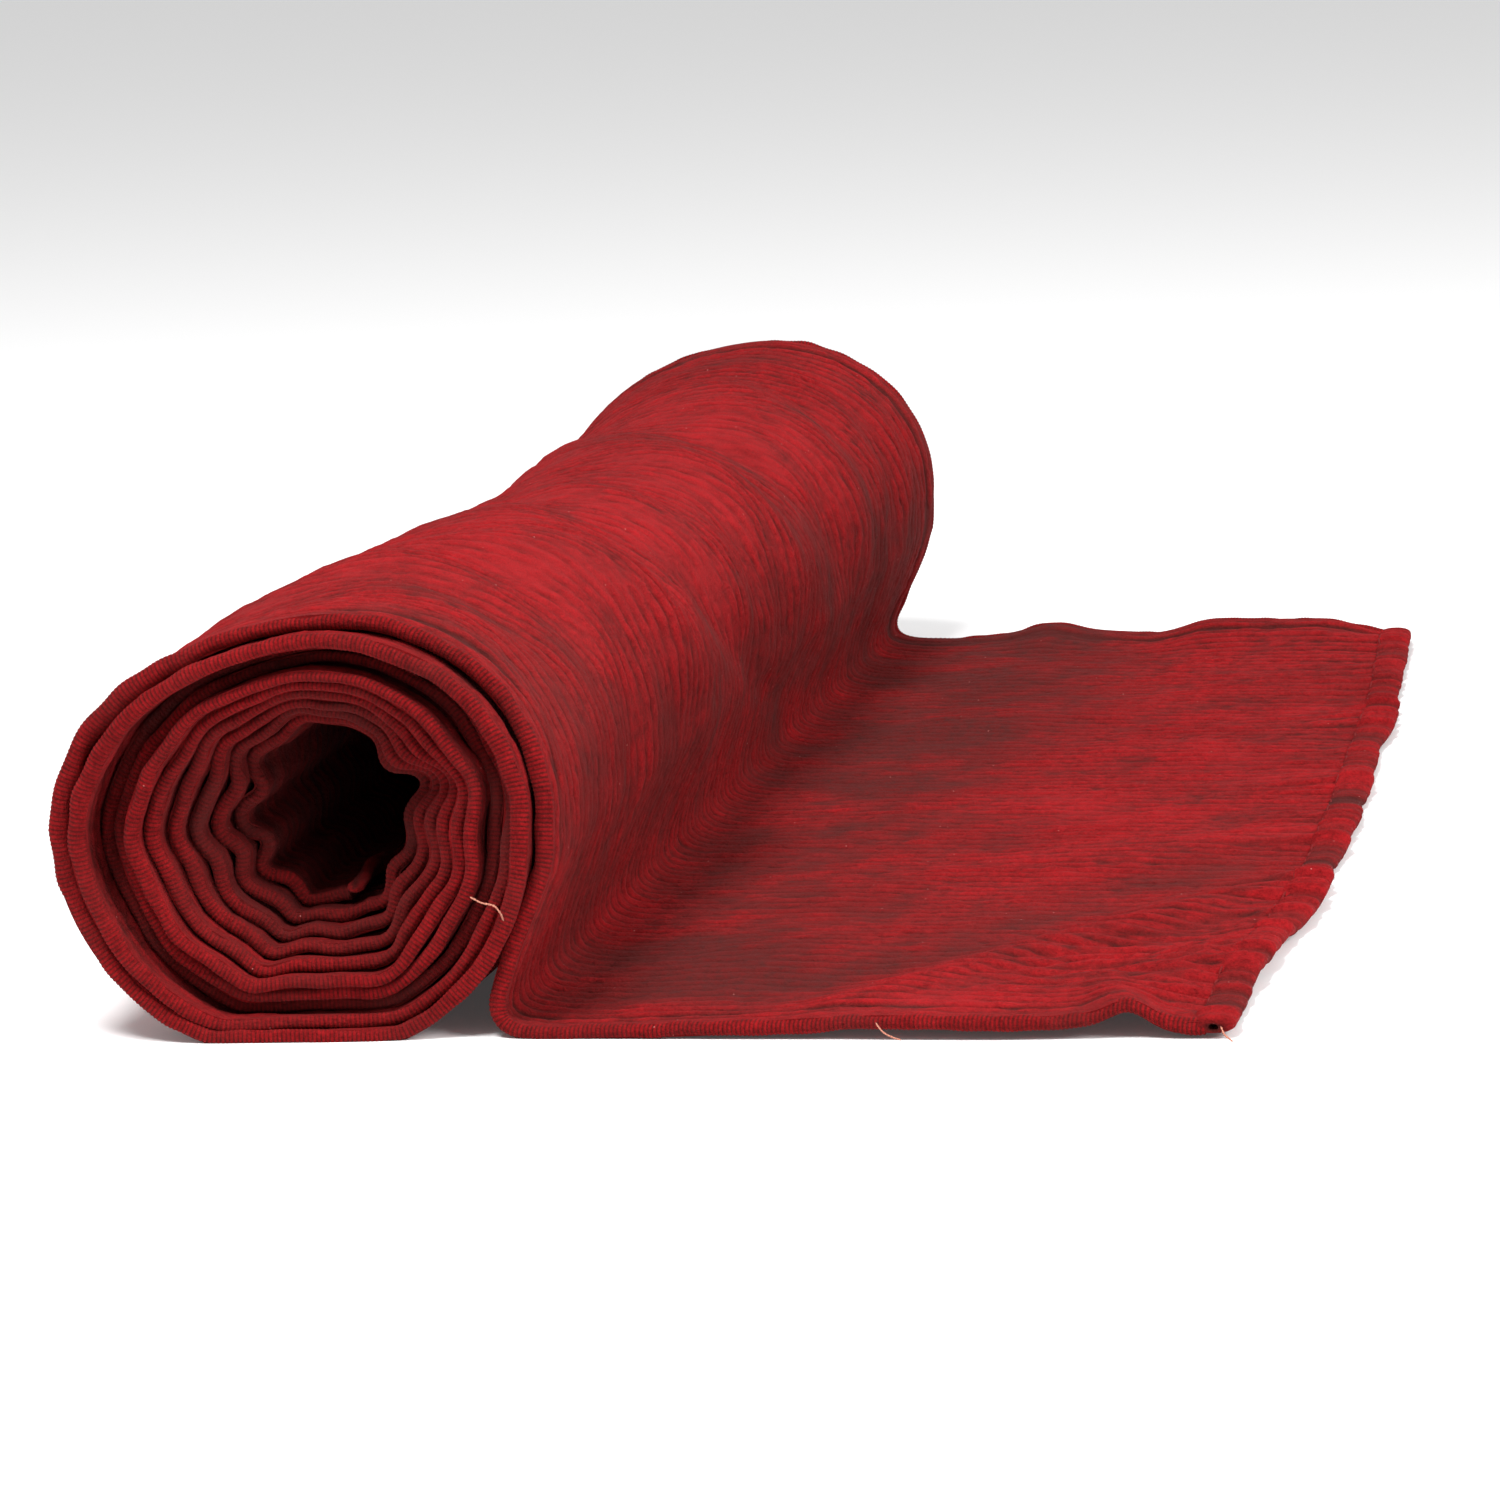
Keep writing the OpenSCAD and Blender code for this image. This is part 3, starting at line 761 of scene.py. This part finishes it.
def ring_grid(name, rows, sides):
    """A grid that can be rolled into a tube, with the row and the angle of each of its points."""
    bpy.ops.object.select_all(action="DESELECT")
    bpy.ops.mesh.primitive_grid_add(x_subdivisions=rows, y_subdivisions=sides, size=1)
    piece = bpy.context.object
    piece.name = name
    co = np.zeros(len(piece.data.vertices) * 3)
    piece.data.vertices.foreach_get("co", co)
    co = co.reshape(-1, 3)
    row = np.round((co[:, 0] + 0.5) * rows).astype(int)
    turn = np.round((co[:, 1] + 0.5) * sides) % sides / sides * 2 * math.pi
    return piece, row, turn


def roll_up(piece, spots, layout, rib, marks, material):
    """Rolls the grid into a tube through the given points, closes its ends and dresses it."""
    mesh = piece.data
    mesh.vertices.foreach_set("co", spots.ravel())
    corner_vertex = np.zeros(len(mesh.loops), int)
    mesh.loops.foreach_get("vertex_index", corner_vertex)
    mesh.uv_layers.active.data.foreach_set("uv", layout[corner_vertex].ravel())
    mesh.attributes.new("rib", "FLOAT", "POINT").data.foreach_set("value", rib)
    mesh.attributes.new("pressed", "FLOAT", "POINT").data.foreach_set("value", marks)
    bpy.ops.object.mode_set(mode="EDIT")
    bpy.ops.mesh.select_all(action="SELECT")
    bpy.ops.mesh.remove_doubles(threshold=0.002 * MM)
    bpy.ops.mesh.fill_holes(sides=0)
    bpy.ops.mesh.select_all(action="SELECT")
    bpy.ops.mesh.normals_make_consistent(inside=False)
    bpy.ops.object.mode_set(mode="OBJECT")
    bpy.ops.object.shade_smooth()
    mesh.materials.clear()
    mesh.materials.append(material)


def edge_lip(name, s0, s1, near):
    """The overlocked lip along one edge of a stretch of cloth: a ring of points follows it."""
    rows = round((s1 - s0) / STITCH_PITCH * POINTS_PER_STITCH)
    lip, row, turn = ring_grid(name, rows, LIP_SIDES)
    s = s0 + (s1 - s0) * row / rows
    thread = np.cos(2 * math.pi * s / STITCH_PITCH + 2.2 * np.cos(turn))
    uneven = 0.10 * waves(s, turn * MM, 41, 10, 0.006, 0.002)
    fat = 1 + 0.055 * thread + uneven
    high = (np.interp(s, LINE_S, LINE_THICK) / 2 + lip_room(s)) * fat
    deep = LIP_DEPTH / 2 * (1 + 0.04 * thread)
    sign = 1 if near else -1
    y = edge_y(s, near) + sign * (LIP_DEPTH / 2 - deep * np.cos(turn))
    wobble = 0.25 * MM * waves(s, 0 * s, 42, 8, 0.012, 1)
    spot = cloth_surface(s, y, high * np.sin(turn) + wobble)
    spot[:, 2] = np.maximum(spot[:, 2], 0)
    # The lips of the inner turns carry the same painted shade, with random patches.
    marks = np.clip(painted_recess_shade(s) + 0.25 * waves(s, 0 * s, 43, 10, 0.012, 1), 0, 1)
    roll_up(lip, spot, np.stack([s, turn * MM], -1), 0.5 + 0.45 * thread, marks, PLUSH)
    return lip


def carry(piece, bodies):
    """The piece rides on one body; given two, its place is baked into its mesh and it rides on
    none.
    """
    if len(bodies) == 1:
        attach(piece, bodies[0])
    else:
        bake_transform(piece)


def edged_cloth(name, s0, s1, step, cells, nodes, group, bodies, end_share=1.0):
    """A stretch of cloth and the two lips along its edges, all carried alike: by the one body, or
    by none when two are given.
    """
    piece = cloth_piece(name, s0, s1, step, cells, end_share)
    near_lip = edge_lip(name + "_near_edge", s0, s1, True)
    far_lip = edge_lip(name + "_far_edge", s0, s1, False)
    lips = [near_lip, far_lip]
    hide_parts(*nodes)
    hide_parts("near_edging_" + group)
    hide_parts("far_edging_" + group)
    for one in [piece, *lips]:
        carry(one, bodies)


# From the third on, each turn ends at the very bottom of the roll, 12 degrees past a whole turn.
# The two half turns between two bodies run up the left side.
BOTTOM = 12 / 360
HALF = 0.5


def wind_turn(name, n0, n1, nodes, group, *bodies, cells=150, end_share=1.7, step=3 * MM):
    """One stretch of the wound cloth. It rides on one body, or on none when given two."""
    edged_cloth(name, at_turn(n0), at_turn(n1), step, cells, nodes, group, bodies,
                end_share)


wind_turn("turn_1", 0, 1, ["winding_01"], "inner", "inner_turns", cells=300, end_share=1.0,
          step=2 * MM)
wind_turn("turn_2", 1, 2, ["winding_02"], "inner", "inner_turns")
wind_turn("turn_3", 2, 3 + BOTTOM, ["winding_03"], "inner", "inner_turns")
wind_turn("turn_3_to_4", 3 + BOTTOM, 3 + BOTTOM + HALF, [], "inner", "inner_turns", "middle_turns")
wind_turn("turn_4", 3 + BOTTOM + HALF, 4 + BOTTOM, ["winding_04"], "middle", "middle_turns")
wind_turn("turn_5", 4 + BOTTOM, 5 + BOTTOM, ["winding_05"], "middle", "middle_turns")
wind_turn("turn_6", 5 + BOTTOM, 6 + BOTTOM, ["winding_06"], "middle", "middle_turns")
wind_turn("turn_6_to_7", 6 + BOTTOM, 6 + BOTTOM + HALF, [], "middle", "middle_turns", "outer_turns")
wind_turn("turn_7", 6 + BOTTOM + HALF, 7 + BOTTOM, ["winding_07"], "outer", "outer_turns")
wind_turn("turn_8", 7 + BOTTOM, 8 + BOTTOM, ["winding_08"], "outer", "outer_turns")
wind_turn("turn_9", 8 + BOTTOM, 9, ["winding_09"], "outer", "outer_turns", cells=400, end_share=1.0)

# ---------------------------------------------------------------------------------------------
# The wrap, the drop and the loose end: the stretch of the same cloth that shows. It leaves the top
# of the roll, drops down its right side and lies on the floor, across four fold lines.
# ---------------------------------------------------------------------------------------------

SHOWN_STEP = 2.5 * MM
SHOWN_CELLS = 520
HEM_TUCK = 2.5 * MM

edged_cloth("wrap", at_turn(TURNS), at_turn(WRAP_END), SHOWN_STEP, SHOWN_CELLS,
            ["outer_wrap"], "outer", ["outer_turns"])
edged_cloth("drop_cloth", at_turn(WRAP_END), at_x(FOOT_X), SHOWN_STEP, SHOWN_CELLS,
            ["drop"], "outer", ["outer_turns"])


def loose_cloth(name, panel, nodes, before, after):
    """A stretch of the loose end, lying on the floor, across the fold between two bodies; it rides
    on neither.
    """
    edged_cloth(name, at_x(borders[panel]), at_x(borders[panel + 1]), SHOWN_STEP, SHOWN_CELLS,
                nodes, after, (before, after))


folds = [FOLD_X + i * PANEL for i in range(4)]
borders = [FOOT_X] + [fold + PANEL / 2 for fold in folds[:3]] + [END_X - HEM_WIDTH + HEM_TUCK]
loose_cloth("foot_cloth", 0, ["foot"], "outer_turns", "flap_1")
loose_cloth("loose_cloth_1", 1, ["loose_end_1"], "flap_1", "flap_2")
loose_cloth("loose_cloth_2", 2, ["loose_end_2"], "flap_2", "flap_3")
loose_cloth("loose_cloth_3", 3, ["loose_end_3", "loose_end_4"], "flap_3", "flap_4")

# ---------------------------------------------------------------------------------------------
# The hem of the loose end. The end of the cloth is turned over into a flat tube and sewn down, and
# the seam gathers it, so that the ribs pucker across it. It is open at both ends.
# ---------------------------------------------------------------------------------------------

HEM_THICK = 4.4 * MM
HEM_SIDES = 28
HEM_STEP = 1.0 * MM
HEM_RIDGE = 0.16
MOUTH = [0.1 * MM, 0.6 * MM, 2 * MM, 9 * MM]


def hem_sway(y):
    """How far the line of the hem wanders along the cloth."""
    return 0.7 * MM * waves(y, 0 * y, 52, 8, 0.025, 1) + 0.6 * MM * hem_ridges(y)


def hem_middle(y):
    """Where the middle line of the hem runs, along x."""
    return END_X - HEM_WIDTH / 2 - 0.8 * MM + hem_line(y)


def hem_rise(y):
    """How far the hem stands off the floor."""
    return 0.8 * flap_relief(END_X - HEM_WIDTH + 0 * y, y)


def hem_tube():
    """The flat tube of the hem. At both ends it turns inwards, which makes its open mouths."""
    middle = at_x(END_X - HEM_WIDTH / 2)
    near = float(edge_y(middle, True))
    far = float(edge_y(middle, False))
    near_mouth = [near + deep for deep in reversed(MOUTH)]
    far_mouth = [far - deep for deep in MOUTH]
    stations = np.array(near_mouth + list(np.arange(near, far, HEM_STEP)) + [far] + far_mouth)
    rows = len(stations) - 1
    hem, row, turn = ring_grid("loose_end_hem", rows, HEM_SIDES)
    y = stations[row]
    lining = (row < len(MOUTH)) | (row > rows - len(MOUTH))
    round_end = np.clip(np.minimum(y - near, far - y) / (2.5 * MM), 0, 1)
    size = np.where(lining, 0.42, 0.62 + 0.38 * np.sqrt(round_end))
    half_wide = HEM_WIDTH / 2 * np.where(lining, 0.24, 0.72 + 0.28 * np.sqrt(round_end))
    ridge = hem_ridges(y) * np.where(lining, 0, 1)
    half_high = HEM_THICK / 2 * size * (1 + HEM_RIDGE * ridge)
    c, sn = np.cos(turn), np.sin(turn)
    x_off = half_wide * np.sign(c) * np.abs(c) ** 0.8
    z_off = half_high * np.sign(sn) * np.abs(sn) ** 0.9
    x = hem_middle(y) + x_off + hem_sway(y) * np.clip(0.6 + x_off / HEM_WIDTH, 0, 1)
    z = HEM_THICK / 2 + z_off + hem_rise(y)
    layout = np.stack([at_x(END_X - HEM_WIDTH) + turn * 3 * MM, y], -1)
    # Painted shade: the mouths take the darker groove colour, and the hollows between the gathers
    # are painted darker and browner, with the crests of the gathers lighter.
    rib = np.clip(0.55 + 0.35 * ridge - np.where(lining, 0.5, 0), 0, 1)
    spots = np.stack([x, y, np.maximum(z, 0)], -1)
    roll_up(hem, spots, layout, rib, np.clip(-0.3 * ridge, 0, 1), PLUSH)
    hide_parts("end_hem")
    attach(hem, "flap_4")


hem_tube()

# ---------------------------------------------------------------------------------------------
# The seam of the hem: one row of long stitches in a fine red thread, pulled down into the pile
# along the inner side of the hem.
# ---------------------------------------------------------------------------------------------

STITCH_LONG = 4.5 * MM
STITCH_EVERY = 8 * MM
FIRST_STITCH, LAST_STITCH = -281.5 * MM, 296 * MM
THREAD_RADIUS = 0.35 * MM


def twisted_thread(name, colour, shine):
    """Sewing thread with fine slanting plies."""
    material = bpy.data.materials.new(name)
    material.use_nodes = True
    surface = material.node_tree.nodes["Principled BSDF"]
    surface.inputs["Roughness"].default_value = 0.7
    surface.inputs["Specular IOR Level"].default_value = shine
    add, join = node_maker(material)
    place = add("ShaderNodeTexCoord")
    slant = add("ShaderNodeMapping", Rotation=(0.0, 0.0, 0.7))
    plies = add("ShaderNodeTexWave", Scale=650.0, Distortion=1.5, Detail=2.0)
    shade = add("ShaderNodeValToRGB")
    shade.color_ramp.elements[0].color = (*[0.55 * part for part in colour], 1)
    shade.color_ramp.elements[1].color = (*colour, 1)
    join(place.outputs["Object"], slant.inputs["Vector"])
    join(slant.outputs["Vector"], plies.inputs["Vector"])
    join(plies.outputs["Fac"], shade.inputs["Fac"])
    join(shade.outputs["Color"], surface.inputs["Base Color"])
    relief = add("ShaderNodeBump", Strength=0.5, Distance=0.0002)
    join(plies.outputs["Fac"], relief.inputs["Height"])
    join(relief.outputs["Normal"], surface.inputs["Normal"])
    return material


RED_THREAD = twisted_thread("red_thread", (0.20, 0.011, 0.011), 0.12)


def hem_seam():
    """The stitches, each a long thin bead that lies on the hem a little askew, as one piece."""
    stitches = []
    for y in np.arange(FIRST_STITCH, LAST_STITCH, STITCH_EVERY):
        skew = 0.25 * MM * math.sin(900 * y)
        ends = []
        for side in (-1, 1):
            v = np.array([y + side * STITCH_LONG / 2])
            high = HEM_THICK / 2 * (1 + 0.58 * (1 + HEM_RIDGE * hem_ridges(v))) + hem_rise(v)
            line = hem_middle(v) - 0.42 * HEM_WIDTH + 0.18 * hem_sway(v) + side * skew
            ends.append(np.array([line[0], v[0], high[0]]))
        along = Vector(ends[1] - ends[0])
        bpy.ops.object.select_all(action="DESELECT")
        bpy.ops.mesh.primitive_uv_sphere_add(segments=10, ring_count=10, radius=1, calc_uvs=False,
                                             location=Vector((ends[0] + ends[1]) / 2),
                                             rotation=along.to_track_quat("Z", "Y").to_euler())
        stitch = bpy.context.object
        stitch.scale = (THREAD_RADIUS, THREAD_RADIUS, along.length / 2)
        stitches.append(stitch)
    for stitch in stitches:
        stitch.select_set(True)
    bpy.context.view_layer.objects.active = stitches[0]
    bpy.ops.object.join()
    seam = bpy.context.object
    seam.name = "hem_seam"
    bpy.ops.object.transform_apply(location=True, rotation=True, scale=True)
    bpy.ops.object.shade_smooth()
    seam.data.materials.clear()
    seam.data.materials.append(RED_THREAD)
    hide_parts("end_hem_stitches")
    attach(seam, "flap_4")


hem_seam()

# ---------------------------------------------------------------------------------------------
# The hem of the inner end, deep in the hollow: the cloth's first edge, turned over into a thin
# roll. And three tails of thread that have worked loose: one from the near end of the hem seam,
# one from the near edging of the loose end, and one that clings to the near face of the roll.
# ---------------------------------------------------------------------------------------------


def smooth_path(points, count):
    """A smooth line of count points through the given ones."""
    points = np.array(points, float)
    ends = np.concatenate([[2 * points[0] - points[1]], points, [2 * points[-1] - points[-2]]])
    spots = np.linspace(0, len(points) - 1, count)
    leg = np.minimum(spots.astype(int), len(points) - 2)
    t = (spots - leg)[:, None]
    a, b, c, d = (ends[leg + i] for i in range(4))
    return 0.5 * (2 * b + (c - a) * t + (2 * a - 5 * b + 4 * c - d) * t ** 2
                  + (3 * b - a - 3 * c + d) * t ** 3)


CORD_SHADE = 0.3


def cord(name, points, radius, twist, uneven, count, sides, material, node, body):
    """A cord along a smooth line through points in mm: two plies that turn round each other,
    thinner at both ends."""
    path = smooth_path(points, count + 1) * MM
    piece, row, turn = ring_grid(name, count, sides)
    heading = np.gradient(path, axis=0)
    heading /= np.linalg.norm(heading, axis=-1, keepdims=True)
    side = np.cross(heading, np.array([0.31, 0.17, 0.94]))
    side /= np.linalg.norm(side, axis=-1, keepdims=True)
    up = np.cross(side, heading)
    length = np.concatenate([[0], np.cumsum(np.linalg.norm(np.diff(path, axis=0), axis=-1))])
    from_end = np.minimum(length, length[-1] - length)
    full = np.sqrt(np.clip(from_end / (2 * radius), 0.09, 1))[row]
    plies = 1 + 0.22 * np.cos(2 * turn - 2 * math.pi * length[row] / twist)
    lumps = 1 + uneven * waves(length[row], turn * radius, 81, 10, 4 * radius, 2 * radius)
    fat = radius * full * plies * lumps
    out = np.cos(turn)[:, None] * side[row] + np.sin(turn)[:, None] * up[row]
    spots = path[row] + fat[:, None] * out
    spots[:, 2] = np.maximum(spots[:, 2], 0)
    layout = np.stack([length[row], turn * radius], -1)
    rib = np.clip(0.5 + (plies - 1) * 2, 0, 1)
    roll_up(piece, spots, layout, rib, CORD_SHADE + 0 * turn, material)
    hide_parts(node)
    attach(piece, body)


INNER_END_LINE = [
    (8.4 + 1.3 * math.sin(3 + i * 1.7), -279 + i * 29.4, 35.2 + 0.9 * math.sin(i * 2.3))
    for i in range(21)]
cord("inner_end_roll", INNER_END_LINE, 2.1 * MM, 40 * MM, 0.10, 420, 16, PLUSH,
     "inner_end_hem", "inner_turns")

PALE_THREAD = twisted_thread("pale_thread", (0.62, 0.24, 0.16), 0.3)
CORNER_TAIL_LINE = [(230.5, -283.0, 4.6), (233.6, -287.6, 5.1), (236.2, -291.8, 4.2),
                    (238.0, -294.6, 1.6), (240.4, -297.2, 0.4)]
EDGE_TAIL_LINE = [(149.4, -297.6, 4.9), (150.4, -299.4, 4.2), (151.8, -300.2, 3.0),
                  (153.8, -300.0, 1.8), (156.4, -300.6, 1.1)]
FACE_TAIL_LINE = [(54.0, -300.2, 31.8), (53.4, -301.0, 34.0), (51.8, -301.2, 36.0),
                  (48.6, -301.0, 36.7), (45.6, -300.8, 38.2)]
cord("corner_tail", CORNER_TAIL_LINE, 0.22 * MM, 1.1 * MM, 0.12, 110, 8, PALE_THREAD,
     "thread_tail_corner", "flap_4")
cord("edge_tail", EDGE_TAIL_LINE, 0.20 * MM, 1.0 * MM, 0.12, 100, 8, PALE_THREAD,
     "thread_tail_edge", "flap_2")
cord("face_tail", FACE_TAIL_LINE, 0.22 * MM, 1.1 * MM, 0.12, 100, 8, PALE_THREAD,
     "thread_tail_face", "outer_turns")
